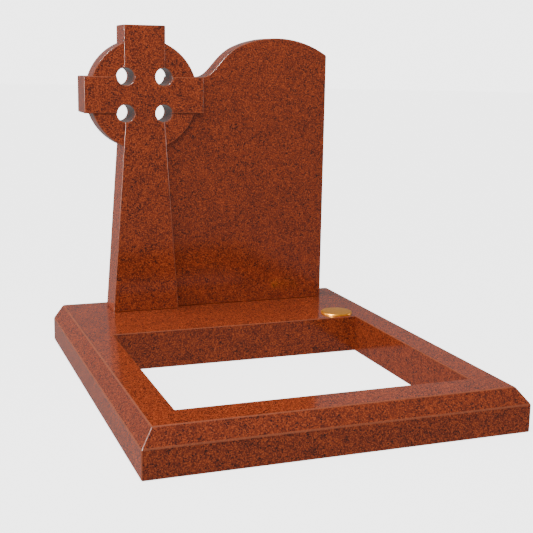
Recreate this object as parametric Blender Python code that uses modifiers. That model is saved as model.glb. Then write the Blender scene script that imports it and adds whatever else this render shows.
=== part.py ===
"""Grave kerb set in polished red granite.

A low kerb surround lies flat and frames an open planting bed. At its head a deeper base stone
carries the headstone: an arched panel with a raised wheel cross down its left side. A gold lid
covers the flower container, which hangs in a hole bored through the base stone.

Metres, +Z up. The origin is on the ground at the middle of the kerb surround. The head is
towards +Y, the foot towards -Y, and the carved face of the headstone looks towards -Y.
"""
import math

import bmesh
import bpy
from mathutils import Matrix, Vector
from mathutils.geometry import interpolate_bezier

# Kerb surround
KERB_WIDTH = 0.914
KERB_LENGTH = 1.110
KERB_HEIGHT = 0.104
SIDE_KERB_WIDTH = 0.100
FOOT_KERB_WIDTH = 0.112
HEAD_BASE_DEPTH = 0.374
SPLAY_INSET = 0.028
SPLAY_DROP = 0.037
KERB_ARRIS = 0.0025
JOINT = 0.0003

# Headstone: one block, cut back round the cross. Heights are above the base.
PANEL_THICKNESS = 0.075
CROSS_RELIEF = 0.025
RING_RELIEF = 0.018
RING_THICKNESS = 0.078
HEADSTONE_SETBACK = 0.036
HEADSTONE_ARRIS = 0.0024
PANEL_RIGHT = 0.357
ARCH_PEAK_FROM_RIGHT = 0.158
ARCH_PEAK_HEIGHT = 0.790
ARCH_RADIUS = 0.288
ARCH_LEFT_ANGLE = math.radians(24)
SHOULDER_ARM_HANDLE = 0.041
SHOULDER_ARCH_HANDLE = 0.065
ARCH_SEGMENTS = 36
SHOULDER_SEGMENTS = 20

# Wheel cross
CROSS_X = -0.207
CROSS_CENTRE_HEIGHT = 0.624
CROSS_HEIGHT = 0.817
ARM_SPAN = 0.345
ARM_HEIGHT = 0.102
TOP_ARM_WIDTH = 0.118
SHAFT_NECK_WIDTH = 0.110
SHAFT_FOOT_WIDTH = 0.195
RING_RADIUS = 0.156
RING_SEGMENTS = 104
HOLE_RADIUS = 0.0247
HOLE_OFFSET_X = 0.055
HOLE_OFFSET_Z = 0.051
HOLE_SEGMENTS = 32
# The facets of each hole are turned a little, so that none ends just beside an edge of the cross
UPPER_HOLE_TURN = math.radians(1.0)
LOWER_HOLE_TURN = math.radians(3.5)

# Flower container and its lid
CONTAINER_FROM_SIDE = 0.137
CONTAINER_FROM_BED = 0.053
CONTAINER_RADIUS = 0.035
CONTAINER_DEPTH = 0.092
CONTAINER_WALL = 0.0015
CONTAINER_BORE_CLEARANCE = 0.001
FLANGE_WIDTH = 0.006
LID_LAP = 0.0045
LID_HEIGHT = 0.005
LID_WALL = 0.0015
LID_RIM_RADIUS = 0.003
RIM_SEGMENTS = 6
TURNED_STEPS = 64

# How far blanks and cutters run past what they meet, and what counts as one point, flat, and a corner
OVERRUN = 0.010
WELD = 0.0002
FLAT = math.radians(0.2)
CORNER = math.radians(30)

HALF_WIDTH = KERB_WIDTH / 2
BED_HALF_WIDTH = HALF_WIDTH - SIDE_KERB_WIDTH
FOOT_Y = -KERB_LENGTH / 2
HEAD_Y = KERB_LENGTH / 2
HEAD_BASE_FRONT = HEAD_Y - HEAD_BASE_DEPTH
FOOT_KERB_BACK = FOOT_Y + FOOT_KERB_WIDTH
HEADSTONE_FOOT = KERB_HEIGHT + JOINT
HEADSTONE_BACK = HEAD_Y - HEADSTONE_SETBACK
PANEL_FRONT = HEADSTONE_BACK - PANEL_THICKNESS
CROSS_FRONT = PANEL_FRONT - CROSS_RELIEF
RING_FRONT = PANEL_FRONT - RING_RELIEF
RING_BACK = RING_FRONT + RING_THICKNESS
ARCH_CENTRE_X = PANEL_RIGHT - ARCH_PEAK_FROM_RIGHT
ARCH_CENTRE_Z = KERB_HEIGHT + ARCH_PEAK_HEIGHT - ARCH_RADIUS
CROSS_Z = KERB_HEIGHT + CROSS_CENTRE_HEIGHT
CROSS_TOP = KERB_HEIGHT + CROSS_HEIGHT
ARM_TOP = CROSS_Z + ARM_HEIGHT / 2
ARM_BOTTOM = CROSS_Z - ARM_HEIGHT / 2
ARM_END = CROSS_X + ARM_SPAN / 2
CONTAINER_X = HALF_WIDTH - CONTAINER_FROM_SIDE
CONTAINER_Y = HEAD_BASE_FRONT + CONTAINER_FROM_BED
FLANGE_RADIUS = CONTAINER_RADIUS + FLANGE_WIDTH
LID_RADIUS = FLANGE_RADIUS + LID_LAP
HOLES = [
    (CROSS_X + side * HOLE_OFFSET_X, CROSS_Z + level * HOLE_OFFSET_Z) for side in (-1, 1) for level in (-1, 1)
]

# A splay is the sloping outer top edge of a kerb: a point on its lower line, and its outward direction
LEFT_SPLAY = (Vector((-HALF_WIDTH, 0, KERB_HEIGHT - SPLAY_DROP)), Vector((-SPLAY_DROP, 0, SPLAY_INSET)))
RIGHT_SPLAY = (Vector((HALF_WIDTH, 0, KERB_HEIGHT - SPLAY_DROP)), Vector((SPLAY_DROP, 0, SPLAY_INSET)))
FOOT_SPLAY = (Vector((0, FOOT_Y, KERB_HEIGHT - SPLAY_DROP)), Vector((0, -SPLAY_DROP, SPLAY_INSET)))


def new_collection(name):
    collection = bpy.data.collections.new(name)
    bpy.context.scene.collection.children.link(collection)
    return collection


for old in list(bpy.data.objects):
    bpy.data.objects.remove(old, do_unlink=True)
PARTS = new_collection("grave_kerb_set")
CUTTERS = new_collection("cutters")


def principled(name, colour, roughness, metallic=0.0):
    material = bpy.data.materials.new(name)
    material.use_nodes = True
    shader = material.node_tree.nodes["Principled BSDF"]
    shader.inputs["Base Color"].default_value = (*colour, 1.0)
    shader.inputs["Roughness"].default_value = roughness
    shader.inputs["Metallic"].default_value = metallic
    return material


def granite(name):
    return principled(f"{name} red granite", (0.31, 0.060, 0.019), 0.15)


def place(obj, collection, material=None):
    for old in list(obj.users_collection):
        old.objects.unlink(obj)
    collection.objects.link(obj)
    if material:
        obj.data.materials.append(material)
    if collection is CUTTERS:
        obj.hide_render = True
        obj.display_type = "WIRE"
    return obj


def cylinder(name, radius, segments, low, high, turn=(0, 0, 0)):
    """A round cutter or blank between the centres of its two caps."""
    bpy.ops.mesh.primitive_cylinder_add(
        vertices=segments,
        radius=radius,
        depth=(Vector(high) - Vector(low)).length,
        location=(Vector(low) + Vector(high)) / 2,
        rotation=turn,
    )
    bpy.context.object.name = name
    return place(bpy.context.object, CUTTERS)


def box(name, low, high):
    bpy.ops.mesh.primitive_cube_add(size=1.0, location=(Vector(low) + Vector(high)) / 2)
    block = bpy.context.object
    block.name = name
    block.data.transform(Matrix.Diagonal((*(Vector(high) - Vector(low)), 1.0)))
    return place(block, CUTTERS)


def boolean(obj, cutter, operation):
    modifier = obj.modifiers.new(f"{operation.lower()} {cutter.name}", "BOOLEAN")
    modifier.operation = operation
    modifier.solver = "EXACT"
    modifier.object = cutter


# Arrises

def tidy(shape):
    """Weld points that fall together, and join faces that lie in one plane."""
    bmesh.ops.remove_doubles(shape, verts=shape.verts, dist=WELD)
    bmesh.ops.dissolve_limit(shape, angle_limit=FLAT, verts=shape.verts, edges=shape.edges)


def middle_of(edge):
    return (edge.verts[0].co + edge.verts[1].co) / 2


def lies_in(edge, axis, value):
    return all(abs(vert.co[axis] - value) < WELD for vert in edge.verts)


def ease(obj, shape, width, stays_square):
    """Give every outside corner a narrow arris, but for the edges that stay square."""
    weight = shape.edges.layers.float.new("bevel_weight_edge")
    for edge in shape.edges:
        outside = edge.calc_face_angle_signed(0.0) > CORNER
        edge[weight] = 1.0 if outside and not stays_square(edge) else 0.0
    shape.to_mesh(obj.data)
    shape.free()
    arris = obj.modifiers.new("arris", "BEVEL")
    arris.limit_method = "WEIGHT"
    arris.width = width
    arris.segments = 1


# Kerb stones

def kerb_stone(name, low_x, high_x, low_y, high_y, splays, joints):
    """A sawn bar with its outer top edges splayed. It stays square where another stone butts against it."""
    low = Vector((low_x, low_y, 0))
    high = Vector((high_x, high_y, KERB_HEIGHT))
    shape = bmesh.new()
    bmesh.ops.create_cube(shape, size=1.0)
    bmesh.ops.scale(shape, vec=high - low, verts=shape.verts)
    bmesh.ops.translate(shape, vec=(low + high) / 2, verts=shape.verts)
    for point, outward in splays:
        everything = shape.verts[:] + shape.edges[:] + shape.faces[:]
        cut = bmesh.ops.bisect_plane(
            shape, geom=everything, plane_co=point, plane_no=outward.normalized(), clear_outer=True
        )
        rim = [item for item in cut["geom_cut"] if isinstance(item, bmesh.types.BMEdge)]
        bmesh.ops.contextual_create(shape, geom=rim)
    tidy(shape)
    for x in (-BED_HALF_WIDTH, BED_HALF_WIDTH):
        if low_x < x - WELD and x + WELD < high_x:
            everything = shape.verts[:] + shape.edges[:] + shape.faces[:]
            bmesh.ops.bisect_plane(shape, geom=everything, plane_co=(x, 0, 0), plane_no=(1, 0, 0))
    bmesh.ops.recalc_face_normals(shape, faces=shape.faces)

    def in_joint(edge):
        beside_bed = abs(middle_of(edge).x) > BED_HALF_WIDTH - WELD
        return beside_bed and any(lies_in(edge, 1, y) for y in joints)

    stone = place(bpy.data.objects.new(name, bpy.data.meshes.new(name)), PARTS, granite(name))
    ease(stone, shape, KERB_ARRIS, in_joint)
    return stone


def build_kerbs():
    side_ends = (FOOT_KERB_BACK + JOINT, HEAD_BASE_FRONT - JOINT)
    kerb_stone("left_kerb", -HALF_WIDTH, -BED_HALF_WIDTH, *side_ends, [LEFT_SPLAY], side_ends)
    kerb_stone("right_kerb", BED_HALF_WIDTH, HALF_WIDTH, *side_ends, [RIGHT_SPLAY], side_ends)
    splays = [LEFT_SPLAY, RIGHT_SPLAY]
    kerb_stone(
        "foot_kerb", -HALF_WIDTH, HALF_WIDTH, FOOT_Y, FOOT_KERB_BACK, splays + [FOOT_SPLAY], [FOOT_KERB_BACK]
    )
    base = kerb_stone(
        "head_base", -HALF_WIDTH, HALF_WIDTH, HEAD_BASE_FRONT, HEAD_Y, splays, [HEAD_BASE_FRONT]
    )
    bore = cylinder(
        "container bore",
        CONTAINER_RADIUS + CONTAINER_BORE_CLEARANCE,
        TURNED_STEPS,
        (CONTAINER_X, CONTAINER_Y, -OVERRUN),
        (CONTAINER_X, CONTAINER_Y, KERB_HEIGHT + OVERRUN),
    )
    boolean(base, bore, "DIFFERENCE")


# Headstone

def plate(name, outline, front_y, back_y, collection, material=None):
    """A flat outline in X and Z, given the thickness from front_y to back_y."""
    curve = bpy.data.curves.new(name, "CURVE")
    curve.dimensions = "2D"
    curve.fill_mode = "BOTH"
    curve.extrude = (back_y - front_y) / 2
    spline = curve.splines.new("POLY")
    spline.points.add(len(outline) - 1)
    for point, (x, z) in zip(spline.points, outline):
        point.co = (x, z, 0, 1)
    spline.use_cyclic_u = True
    drawn = bpy.data.objects.new(f"{name} outline", curve)
    bpy.context.scene.collection.objects.link(drawn)
    drawn.rotation_euler = (math.pi / 2, 0, 0)
    drawn.location = (0, (front_y + back_y) / 2, 0)
    bpy.context.view_layer.update()
    mesh = bpy.data.meshes.new_from_object(drawn.evaluated_get(bpy.context.evaluated_depsgraph_get()))
    shape = bmesh.new()
    shape.from_mesh(mesh)
    tidy(shape)
    shape.to_mesh(mesh)
    shape.free()
    slab = bpy.data.objects.new(name, mesh)
    slab.matrix_world = drawn.matrix_world.copy()
    bpy.data.objects.remove(drawn, do_unlink=True)
    return place(slab, collection, material)


def shaft_half_width(z):
    share = (ARM_BOTTOM - z) / (ARM_BOTTOM - HEADSTONE_FOOT)
    return (SHAFT_NECK_WIDTH + share * (SHAFT_FOOT_WIDTH - SHAFT_NECK_WIDTH)) / 2


def cross_outline(foot_z):
    """The right half of the cross from its foot to its top, then the mirror image back down."""
    right = [
        (shaft_half_width(foot_z), foot_z),
        (SHAFT_NECK_WIDTH / 2, ARM_BOTTOM),
        (ARM_SPAN / 2, ARM_BOTTOM),
        (ARM_SPAN / 2, ARM_TOP),
        (TOP_ARM_WIDTH / 2, ARM_TOP),
        (TOP_ARM_WIDTH / 2, CROSS_TOP),
    ]
    left = [(-x, z) for x, z in reversed(right)]
    return [(CROSS_X + x, z) for x, z in right + left]


def panel_outline(foot_z):
    """Up the right edge, over the arch, down the S-curve to the end of the arm, and back inside the cross."""
    arch_right_angle = math.asin(ARCH_PEAK_FROM_RIGHT / ARCH_RADIUS)
    sweep = arch_right_angle + ARCH_LEFT_ANGLE
    angles = [arch_right_angle - sweep * step / ARCH_SEGMENTS for step in range(ARCH_SEGMENTS + 1)]
    arch_centre = Vector((ARCH_CENTRE_X, ARCH_CENTRE_Z))
    arch = [arch_centre + ARCH_RADIUS * Vector((math.sin(a), math.cos(a))) for a in angles]
    arm_corner = Vector((ARM_END, ARM_TOP))
    down_the_arch = Vector((-math.cos(ARCH_LEFT_ANGLE), -math.sin(ARCH_LEFT_ANGLE)))
    shoulder = interpolate_bezier(
        arch[-1],
        arch[-1] + SHOULDER_ARCH_HANDLE * down_the_arch,
        arm_corner + Vector((SHOULDER_ARM_HANDLE, 0)),
        arm_corner,
        SHOULDER_SEGMENTS + 1,
    )
    inside_cross = [(ARM_END - ARM_HEIGHT / 2, CROSS_Z), (CROSS_X, CROSS_Z), (CROSS_X, foot_z)]
    return [(PANEL_RIGHT, foot_z)] + [tuple(p) for p in arch + shoulder[1:]] + inside_cross


def on_hole_wall(edge):
    middle = middle_of(edge)
    return any(abs(math.hypot(middle.x - x, middle.z - z) - HOLE_RADIUS) < WELD for x, z in HOLES)


def square_on_headstone(edge):
    """The short corners where a hole opens the side of the cross stay square."""
    runs_back = abs(edge.verts[0].co.y - edge.verts[1].co.y) > WELD
    return runs_back and on_hole_wall(edge)


def build_headstone():
    """Cross, ring and panel are one block. The cross and the panel run on past the back and the foot, each by
    a length of its own, and two cuts then trim them flush. The arrises come last, on the finished block."""
    cross = cross_outline(HEADSTONE_FOOT - OVERRUN)
    stone = plate("headstone", cross, CROSS_FRONT, HEADSTONE_BACK + OVERRUN, PARTS, granite("headstone"))
    arched = panel_outline(HEADSTONE_FOOT - 2 * OVERRUN)
    panel = plate("panel blank", arched, PANEL_FRONT, HEADSTONE_BACK + 2 * OVERRUN, CUTTERS)
    ring = cylinder(
        "ring blank",
        RING_RADIUS,
        RING_SEGMENTS,
        (CROSS_X, RING_FRONT, CROSS_Z),
        (CROSS_X, RING_BACK, CROSS_Z),
        (math.pi / 2, 0, 0),
    )
    blanks_end = HEADSTONE_BACK + 3 * OVERRUN
    holes = []
    for x, z in HOLES:
        side = math.copysign(1, x - CROSS_X)
        facet_turn = -side * UPPER_HOLE_TURN if z > CROSS_Z else side * LOWER_HOLE_TURN
        low = (x, CROSS_FRONT - OVERRUN, z)
        high = (x, blanks_end, z)
        turn = (math.pi / 2, facet_turn, 0)
        holes.append(cylinder("cross hole", HOLE_RADIUS, HOLE_SEGMENTS, low, high, turn))
    far = KERB_WIDTH + CROSS_TOP
    back_trim = box("back trim", (-far, HEADSTONE_BACK, -far), (far, blanks_end + OVERRUN, far))
    foot_trim = box("foot trim", (-far, -far, -far), (far, far, HEADSTONE_FOOT))
    boolean(stone, ring, "UNION")
    boolean(stone, panel, "UNION")
    for cutter in holes + [back_trim, foot_trim]:
        boolean(stone, cutter, "DIFFERENCE")
    bpy.context.view_layer.update()
    cut = bpy.data.meshes.new_from_object(stone.evaluated_get(bpy.context.evaluated_depsgraph_get()))
    cut.transform(stone.matrix_world)
    stone.modifiers.clear()
    stone.data = cut
    stone.matrix_world = Matrix.Identity(4)
    shape = bmesh.new()
    shape.from_mesh(cut)
    tidy(shape)
    ease(stone, shape, HEADSTONE_ARRIS, square_on_headstone)


# Flower container

def turned(name, profile, material):
    """A profile of radius and height, from its top down its outer side, turned round the container's axis."""
    mesh = bpy.data.meshes.new(name)
    shape = bmesh.new()
    points = [shape.verts.new((radius, 0, height)) for radius, height in profile]
    for above, below in zip(points, points[1:]):
        shape.edges.new((above, below))
    shape.to_mesh(mesh)
    shape.free()
    piece = place(bpy.data.objects.new(name, mesh), PARTS, material)
    piece.location = (CONTAINER_X, CONTAINER_Y, KERB_HEIGHT + JOINT)
    turn = piece.modifiers.new("turn", "SCREW")
    turn.axis = "Z"
    turn.steps = TURNED_STEPS
    turn.render_steps = TURNED_STEPS
    turn.use_merge_vertices = True
    turn.merge_threshold = 0.0001


def build_container():
    """A thin cup with a flange that rests on the stone round the bore."""
    inside = CONTAINER_RADIUS - CONTAINER_WALL
    profile = [
        (0, CONTAINER_WALL - CONTAINER_DEPTH),
        (inside, CONTAINER_WALL - CONTAINER_DEPTH),
        (inside, CONTAINER_WALL),
        (FLANGE_RADIUS, CONTAINER_WALL),
        (FLANGE_RADIUS, 0),
        (CONTAINER_RADIUS, 0),
        (CONTAINER_RADIUS, -CONTAINER_DEPTH),
        (0, -CONTAINER_DEPTH),
    ]
    turned("flower_container", profile, principled("container aluminium", (0.60, 0.60, 0.61), 0.35, 1.0))


def build_lid():
    """A shallow pressed cap with a rounded rim, which stands on the stone outside the flange."""
    rim_centre = Vector((LID_RADIUS - LID_RIM_RADIUS, LID_HEIGHT - LID_RIM_RADIUS))
    quarter = [math.pi / 2 * step / RIM_SEGMENTS for step in range(RIM_SEGMENTS + 1)]
    rim = [tuple(rim_centre + LID_RIM_RADIUS * Vector((math.sin(a), math.cos(a)))) for a in quarter]
    inside = LID_RADIUS - LID_WALL
    profile = [(0, LID_HEIGHT)] + rim + [
        (LID_RADIUS, 0),
        (inside, 0),
        (inside, rim_centre.y),
        (rim_centre.x, LID_HEIGHT - LID_WALL),
        (0, LID_HEIGHT - LID_WALL),
    ]
    turned("flower_container_lid", profile, principled("lid gold", (0.48, 0.25, 0.055), 0.35, 1.0))


build_kerbs()
build_headstone()
build_container()
build_lid()
for part in PARTS.objects:
    part.data.shade_smooth()
    part.data.set_sharp_from_angle(angle=CORNER)
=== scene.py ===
import math

import bmesh
import bpy
from mathutils import Matrix, Vector


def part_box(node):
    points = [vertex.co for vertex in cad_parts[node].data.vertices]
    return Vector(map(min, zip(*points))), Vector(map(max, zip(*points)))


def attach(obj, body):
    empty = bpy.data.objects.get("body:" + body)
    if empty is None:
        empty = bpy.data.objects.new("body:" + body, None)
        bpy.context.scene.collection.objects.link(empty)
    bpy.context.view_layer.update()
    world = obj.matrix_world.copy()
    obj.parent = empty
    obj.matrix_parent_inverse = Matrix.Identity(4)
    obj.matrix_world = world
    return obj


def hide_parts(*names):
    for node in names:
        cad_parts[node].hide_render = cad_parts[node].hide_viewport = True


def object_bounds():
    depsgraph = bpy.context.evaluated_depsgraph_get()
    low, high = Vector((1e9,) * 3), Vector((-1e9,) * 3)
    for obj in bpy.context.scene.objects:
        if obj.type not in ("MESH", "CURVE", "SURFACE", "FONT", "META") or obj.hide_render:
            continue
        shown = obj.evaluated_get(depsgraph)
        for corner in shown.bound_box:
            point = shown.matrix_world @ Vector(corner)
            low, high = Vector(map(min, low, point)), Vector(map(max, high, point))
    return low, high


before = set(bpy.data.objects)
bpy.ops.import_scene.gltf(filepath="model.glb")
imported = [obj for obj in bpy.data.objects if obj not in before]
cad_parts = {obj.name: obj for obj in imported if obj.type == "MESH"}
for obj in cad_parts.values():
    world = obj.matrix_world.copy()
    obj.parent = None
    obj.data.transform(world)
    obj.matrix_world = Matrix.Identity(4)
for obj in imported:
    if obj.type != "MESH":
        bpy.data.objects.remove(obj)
cad_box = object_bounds()


# Head base.
# The deep stone at the head carries the headstone and is drilled for the flower container.
# It is sawn from red granite and polished all over. Its arrises are hand-eased, and a paler pink is painted
# on them as a highlight.

# Fineness of the patterns, from broad clouds down to the grain inside one crystal.
CLOUD_SCALE = 17.0
DRIFT_SCALE = 62.0
CRYSTAL_SCALE = 425.0
FINE_SCALE = 520.0
COARSE_DETAIL = 3.0
FINE_DETAIL = 2.0
NOISE_ROUGHNESS = 0.55

# Colours of the minerals, with feldspar and clouds running from dark to pale.
FELDSPAR_TONES = [
    (0.0, (0.074, 0.0138, 0.0084)),
    (0.5, (0.248, 0.0360, 0.0112)),
    (1.0, (0.640, 0.1150, 0.0300)),
]
CLOUD_TONES = [(0.34, (0.140, 0.0205, 0.0084)), (0.66, (0.345, 0.0545, 0.0155))]
QUARTZ_BROWN = (0.066, 0.0150, 0.0075)
MICA_BLACK = (0.018, 0.0085, 0.0090)
GRAIN_RED = (0.270, 0.0430, 0.0130)
# The pink mixed into the arrises is a painted highlight, not a colour of the stone.
ARRIS_HIGHLIGHT_PINK = (0.44, 0.115, 0.048)

# Shares of each mineral and colour, and the noise values between which they come in.
CLOUDINESS = 0.28
DRIFT_EDGES = (0.36, 0.70)
MOST_QUARTZ = 0.33
MOST_MICA = 0.145
GRAIN_EDGES = (0.30, 0.72)
GRAIN_SHARE = 0.12
# How much of the painted highlight pink goes into the arrises.
ARRIS_HIGHLIGHT_SHARE = 0.6

POLISH_ROUGHNESS = 0.13
ARRIS_ROUGHNESS = 0.24

# Numbers of the colour sockets on a mix node.
MIX_AMOUNT, MIX_UNDER, MIX_OVER = 0, 6, 7
MIX_RESULT = 2


def feed(links, given, socket):
    """A socket is set to a number or to a colour, or it takes what another node gives out."""
    if isinstance(given, float):
        socket.default_value = given
    elif isinstance(given, tuple):
        socket.default_value = (*given, 1)
    else:
        links.new(given, socket)


def noise_texture(nodes, links, where, scale, detail):
    texture = nodes.new("ShaderNodeTexNoise")
    texture.inputs["Scale"].default_value = scale
    texture.inputs["Detail"].default_value = detail
    texture.inputs["Roughness"].default_value = NOISE_ROUGHNESS
    links.new(where, texture.inputs["Vector"])
    return texture.outputs["Fac"]


def colour_ramp(nodes, links, value, stops):
    ramp = nodes.new("ShaderNodeValToRGB")
    for stop, (position, colour) in zip(ramp.color_ramp.elements, (stops[0], stops[-1])):
        stop.position = position
        stop.color = (*colour, 1)
    for position, colour in stops[1:-1]:
        ramp.color_ramp.elements.new(position).color = (*colour, 1)
    links.new(value, ramp.inputs["Fac"])
    return ramp.outputs["Color"]


def rise_between(nodes, links, value, edges):
    """Nought below the first edge and one above the second, with an even rise between them."""
    rise = nodes.new("ShaderNodeMapRange")
    rise.inputs["From Min"].default_value, rise.inputs["From Max"].default_value = edges
    links.new(value, rise.inputs["Value"])
    return rise.outputs["Result"]


def blend_colours(nodes, links, amount, under, over):
    blend = nodes.new("ShaderNodeMix")
    blend.data_type = "RGBA"
    feed(links, amount, blend.inputs[MIX_AMOUNT])
    feed(links, under, blend.inputs[MIX_UNDER])
    feed(links, over, blend.inputs[MIX_OVER])
    return blend.outputs[MIX_RESULT]


def arithmetic(nodes, links, operation, first, second):
    step = nodes.new("ShaderNodeMath")
    step.operation = operation
    feed(links, first, step.inputs[0])
    feed(links, second, step.inputs[1])
    return step.outputs["Value"]


def red_granite(name, shift, arris=False):
    """Orange-red feldspar, brown quartz and black mica; the shift cuts each stone from its own place."""
    material = bpy.data.materials.new(name)
    material.use_nodes = True
    nodes, links = material.node_tree.nodes, material.node_tree.links
    shader = nodes["Principled BSDF"]
    place = nodes.new("ShaderNodeTexCoord")
    block = nodes.new("ShaderNodeMapping")
    block.inputs["Location"].default_value = shift
    links.new(place.outputs["Object"], block.inputs["Vector"])
    where = block.outputs["Vector"]

    clouds = noise_texture(nodes, links, where, CLOUD_SCALE, COARSE_DETAIL)
    drifts = noise_texture(nodes, links, where, DRIFT_SCALE, COARSE_DETAIL)
    fine = noise_texture(nodes, links, where, FINE_SCALE, FINE_DETAIL)
    crystals = nodes.new("ShaderNodeTexVoronoi")
    crystals.inputs["Scale"].default_value = CRYSTAL_SCALE
    links.new(where, crystals.inputs["Vector"])
    split = nodes.new("ShaderNodeSeparateColor")
    links.new(crystals.outputs["Color"], split.inputs["Color"])
    kind = split.outputs["Red"]
    tone = split.outputs["Green"]

    feldspar = colour_ramp(nodes, links, tone, FELDSPAR_TONES)
    cloudy = colour_ramp(nodes, links, clouds, CLOUD_TONES)
    body = blend_colours(nodes, links, CLOUDINESS, feldspar, cloudy)

    dark_share = rise_between(nodes, links, drifts, DRIFT_EDGES)
    quartz_edge = arithmetic(nodes, links, "MULTIPLY", dark_share, MOST_QUARTZ)
    mica_edge = arithmetic(nodes, links, "MULTIPLY", dark_share, MOST_MICA)
    quartz = arithmetic(nodes, links, "LESS_THAN", kind, quartz_edge)
    mica = arithmetic(nodes, links, "LESS_THAN", kind, mica_edge)
    with_quartz = blend_colours(nodes, links, quartz, body, QUARTZ_BROWN)
    with_mica = blend_colours(nodes, links, mica, with_quartz, MICA_BLACK)

    grain = rise_between(nodes, links, fine, GRAIN_EDGES)
    grainy = blend_colours(nodes, links, grain, with_mica, GRAIN_RED)
    colour = blend_colours(nodes, links, GRAIN_SHARE, with_mica, grainy)
    # On arrises a paler pink is mixed in as a painted highlight along the edges.
    if arris:
        colour = blend_colours(nodes, links, ARRIS_HIGHLIGHT_SHARE, colour, ARRIS_HIGHLIGHT_PINK)
    links.new(colour, shader.inputs["Base Color"])
    shader.inputs["Roughness"].default_value = ARRIS_ROUGHNESS if arris else POLISH_ROUGHNESS
    return material


STONE_WELD = 0.00005
STONE_FLAT = math.radians(0.1)


def merged_copy(name, node):
    """A copy of a node's solid with its triangles welded and its flat faces whole."""
    shape = bmesh.new()
    shape.from_mesh(bpy.data.objects[node].data)
    bmesh.ops.remove_doubles(shape, verts=shape.verts, dist=STONE_WELD)
    bmesh.ops.dissolve_limit(shape, angle_limit=STONE_FLAT, verts=shape.verts, edges=shape.edges)
    mesh = bpy.data.meshes.new(name)
    shape.to_mesh(mesh)
    shape.free()
    mesh.shade_smooth()
    piece = bpy.data.objects.new(name, mesh)
    bpy.context.scene.collection.objects.link(piece)
    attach(piece, "root")
    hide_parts(node)
    return piece


# Faces that meet at less than the smooth turn share their shading, and the pull lets the largest one win.
SMOOTH_TURN = math.radians(50)
LARGE_FACE_PULL = 8


def shading_at(corner):
    """One corner of a face is shaded like the largest of the faces there that it turns into smoothly."""
    least_dot = math.cos(SMOOTH_TURN)
    smooth = [face for face in corner.vert.link_faces if face.normal.dot(corner.face.normal) > least_dot]
    largest = max(face.calc_area() for face in smooth)
    pulls = [face.normal * (face.calc_area() / largest) ** LARGE_FACE_PULL for face in smooth]
    return sum(pulls, Vector((0, 0, 0))).normalized()


def polished_stone(name, node, shift, is_arris):
    """Large faces stay flat, and the shading turns round the arrises between them."""
    stone = merged_copy(name, node)
    stone.data.materials.append(red_granite(name + " face", shift))
    stone.data.materials.append(red_granite(name + " arris", shift, arris=True))
    shape = bmesh.new()
    shape.from_mesh(stone.data)
    for face in shape.faces:
        face.material_index = int(is_arris(face))
    shading = [shading_at(corner) for face in shape.faces for corner in face.loops]
    shape.to_mesh(stone.data)
    shape.free()
    stone.data.normals_split_custom_set(shading)
    return stone


ARRIS_WIDTH = 0.0052
BORE_REACH = 0.06
container_low, container_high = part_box("flower_container")
container_axis = (Vector(container_low) + Vector(container_high)).xy / 2


def is_kerb_arris(face):
    """Arrises are narrow strips, and so are the facets of the bore, which aren't arrises."""
    outside_bore = (face.calc_center_median().xy - container_axis).length > BORE_REACH
    longest_edge = max(edge.calc_length() for edge in face.edges)
    return outside_bore and face.calc_area() / longest_edge < ARRIS_WIDTH


polished_stone("head_base_stone", "head_base", (0.0, 0.0, 0.0), is_kerb_arris)


# Side kerbs.
# Two slim bars of the same granite run from the head base to the foot kerb, one down each side of the bed.
# Their outer top edge is sawn to a splay, and they butt against their neighbours on thin beds of mortar.

polished_stone("left_kerb_stone", "left_kerb", (0.37, 0.53, 0.71), is_kerb_arris)
polished_stone("right_kerb_stone", "right_kerb", (0.81, 0.29, 0.43), is_kerb_arris)


# Foot kerb.
# The granite bar across the foot closes the frame on thin beds of mortar against the side kerbs.
# Its splay is sawn along the front and turns both outer corners.

polished_stone("foot_kerb_stone", "foot_kerb", (0.17, 0.91, 0.23), is_kerb_arris)


# Headstone.
# An upright slab of the same granite stands on the head base, cut as a ringed cross that rises
# on the left above an arched inscription panel. Four holes are drilled through beside the arms.

FACE_TURN = 0.95
WALL_TURN = 0.10


def is_headstone_arris(face):
    """An arris leans between the front or back, which face along Y, and the walls, which face across it."""
    return WALL_TURN < abs(face.normal.y) < FACE_TURN


polished_stone("polished_headstone", "headstone", (0.59, 0.67, 0.11), is_headstone_arris)


# Flower container.
# A plain cup with a flange, spun from thin aluminium sheet.
# It hangs by the flange in the hole through the head base, under the lid.

FINISH_SCALE = 170.0
FINISH_LOW = 0.35
FINISH_HIGH = 0.65
TURNED_CREASE = math.radians(30)


def turned_metal(name, dull, bright, metallic, roughness):
    """Satin metal with the faint cloudiness of a lacquered finish."""
    material = bpy.data.materials.new(name)
    material.use_nodes = True
    nodes, links = material.node_tree.nodes, material.node_tree.links
    shader = nodes["Principled BSDF"]
    place = nodes.new("ShaderNodeTexCoord")
    cloudiness = noise_texture(nodes, links, place.outputs["Object"], FINISH_SCALE, COARSE_DETAIL)
    tone = colour_ramp(nodes, links, cloudiness, [(FINISH_LOW, dull), (FINISH_HIGH, bright)])
    links.new(tone, shader.inputs["Base Color"])
    shader.inputs["Metallic"].default_value = metallic
    shader.inputs["Roughness"].default_value = roughness
    return material


def turned_piece(name, node, material):
    piece = merged_copy(name, node)
    piece.data.materials.append(material)
    piece.data.set_sharp_from_angle(angle=TURNED_CREASE)
    return piece


aluminium = turned_metal(
    "spun aluminium",
    dull=(0.56, 0.56, 0.57),
    bright=(0.66, 0.66, 0.67),
    metallic=1.0,
    roughness=0.35,
)
turned_piece("flower_cup", "flower_container", aluminium)


# Lid.
# A shallow cap pressed from thin brass covers the container's flange and lifts off by hand.
# It has a satin gold finish and a rounded rim.

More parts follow.
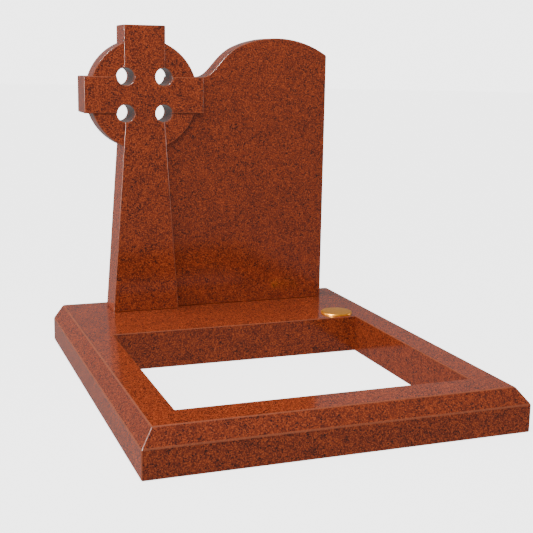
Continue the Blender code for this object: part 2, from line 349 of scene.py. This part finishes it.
gold = turned_metal(
    "satin gold",
    dull=(0.80, 0.295, 0.012),
    bright=(0.98, 0.400, 0.028),
    metallic=0.75,
    roughness=0.30,
)
turned_piece("gold_lid", "flower_container_lid", gold)


# Floor and backdrop.
# The set stands on a plain pale floor that is lit from within like a light table.
# The backdrop glows as strongly as the floor does with the studio's light on it, so no horizon shows.

FLOOR_RADIUS = 30.0
FLOOR_SIDES = 96
FLOOR_GAP = 0.0005
FLOOR_GREY = 0.92
FLOOR_LIGHT = 1.0
FLOOR_GLOW = 3.0
BACKDROP_RADIUS = 29.5
DOME_MERIDIANS = 48
DOME_RINGS = 24


def stage_piece(name, shape, material):
    mesh = bpy.data.meshes.new(name)
    shape.to_mesh(mesh)
    shape.free()
    mesh.materials.append(material)
    stand = bpy.data.objects.new(name, mesh)
    bpy.context.scene.collection.objects.link(stand)
    return stand


def glowing_paint(name, grey, glow):
    """A matt grey paint that also sends out an even white light."""
    paint = bpy.data.materials.new(name)
    paint.use_nodes = True
    shader = paint.node_tree.nodes["Principled BSDF"]
    shader.inputs["Base Color"].default_value = (grey, grey, grey, 1)
    shader.inputs["Specular IOR Level"].default_value = 0.0
    shader.inputs["Emission Color"].default_value = (1, 1, 1, 1)
    shader.inputs["Emission Strength"].default_value = glow
    paint.cycles.emission_sampling = "NONE"
    return paint


floor_shape = bmesh.new()
bmesh.ops.create_circle(floor_shape, cap_ends=True, segments=FLOOR_SIDES, radius=FLOOR_RADIUS)
bmesh.ops.translate(floor_shape, vec=(0, 0, cad_box[0][2] - FLOOR_GAP), verts=floor_shape.verts)
floor = stage_piece("floor", floor_shape, glowing_paint("pale floor", FLOOR_GREY, FLOOR_GLOW))
floor.visible_diffuse = False
floor.visible_glossy = False


def glowing_dome(name, radius, glow):
    """A plain black sphere round the whole set that only glows, and that no kind of ray meets yet."""
    shape = bmesh.new()
    bmesh.ops.create_uvsphere(shape, u_segments=DOME_MERIDIANS, v_segments=DOME_RINGS, radius=radius)
    dome = stage_piece(name, shape, glowing_paint(name, 0, glow))
    dome.visible_camera = False
    dome.visible_diffuse = False
    dome.visible_glossy = False
    dome.visible_transmission = False
    dome.visible_shadow = False
    return dome


backdrop = glowing_dome("backdrop", BACKDROP_RADIUS, FLOOR_GREY * FLOOR_LIGHT + FLOOR_GLOW)
backdrop.visible_camera = True


# Light.
# A white tent lights the set evenly from all round, and the room reflected in the polish is dimmer.
# A soft sun, a broad sun and a softbox stand at the upper left, and three strip lights catch the arrises.

TENT_RADIUS = 29.0
TENT_GLOW = 0.52
ROOM_STRENGTH = 0.27

tent = glowing_dome("light tent", TENT_RADIUS, TENT_GLOW)
tent.visible_diffuse = True

world = bpy.data.worlds.new("white studio")
world.use_nodes = True
room = world.node_tree.nodes["Background"]
room.inputs["Color"].default_value = (1, 1, 1, 1)
room.inputs["Strength"].default_value = ROOM_STRENGTH
bpy.context.scene.world = world


def studio_sun(name, comes_from, energy, width_degrees):
    light = bpy.data.lights.new(name, "SUN")
    light.energy = energy
    light.angle = math.radians(width_degrees)
    sun = bpy.data.objects.new(name, light)
    sun.rotation_euler = (-Vector(comes_from)).to_track_quat("-Z", "Y").to_euler()
    bpy.context.scene.collection.objects.link(sun)
    return sun


studio_sun("soft sun", comes_from=(-0.58, -0.30, 0.75), energy=0.7, width_degrees=26)
broad_sun = studio_sun("broad sun", comes_from=(-0.85, 0.16, 0.50), energy=3.7, width_degrees=50)
broad_sun.visible_glossy = False
high_strip = studio_sun("high strip light", comes_from=(-0.60, -0.14, 0.79), energy=12.0, width_degrees=14)
low_strip = studio_sun("low strip light", comes_from=(-0.92, -0.34, 0.10), energy=9.0, width_degrees=14)
right_strip = studio_sun("right strip light", comes_from=(1.0, -0.06, 0.05), energy=1.0, width_degrees=14)
for strip in (high_strip, low_strip, right_strip):
    strip.visible_diffuse = False

SOFTBOX_WIDTH = 1.0
SOFTBOX_ENERGY = 18.0
SOFTBOX_PLACE = Vector((-0.5, -1.0, 1.9))
SOFTBOX_AIM = Vector((0.0, 0.44, 0.6))

softbox_light = bpy.data.lights.new("softbox", "AREA")
softbox_light.shape = "DISK"
softbox_light.size = SOFTBOX_WIDTH
softbox_light.energy = SOFTBOX_ENERGY
softbox = bpy.data.objects.new("softbox", softbox_light)
softbox.location = SOFTBOX_PLACE
softbox.rotation_euler = (SOFTBOX_AIM - SOFTBOX_PLACE).to_track_quat("-Z", "Y").to_euler()
bpy.context.scene.collection.objects.link(softbox)


# Camera.
# It stands in front of the left corner, a little below the top of the headstone, and looks down slightly.
# The width of the picture in pixels and the focal length in the same pixels give the lens.

PICTURE_PIXELS = 533
FOCAL_PIXELS = 1019.0
CAMERA_PLACE = Vector((-0.9004, -2.4281, 0.8307))
CAMERA_YAW = math.radians(20.55)
CAMERA_PITCH = math.radians(-11.45)
CAMERA_ROLL = math.radians(1.0)
SENSOR = 36.0

forward = Vector(
    (
        math.sin(CAMERA_YAW) * math.cos(CAMERA_PITCH),
        math.cos(CAMERA_YAW) * math.cos(CAMERA_PITCH),
        math.sin(CAMERA_PITCH),
    )
)
level = Vector((math.cos(CAMERA_YAW), -math.sin(CAMERA_YAW), 0))
upright = level.cross(forward)
right = level * math.cos(CAMERA_ROLL) + upright * math.sin(CAMERA_ROLL)
up = right.cross(forward)
turn = Matrix((right, up, -forward)).transposed().to_4x4()

lens = bpy.data.cameras.new("camera")
lens.sensor_width = SENSOR
lens.lens = FOCAL_PIXELS / PICTURE_PIXELS * SENSOR
camera = bpy.data.objects.new("camera", lens)
bpy.context.scene.collection.objects.link(camera)
camera.matrix_world = Matrix.Translation(CAMERA_PLACE) @ turn
bpy.context.scene.camera = camera
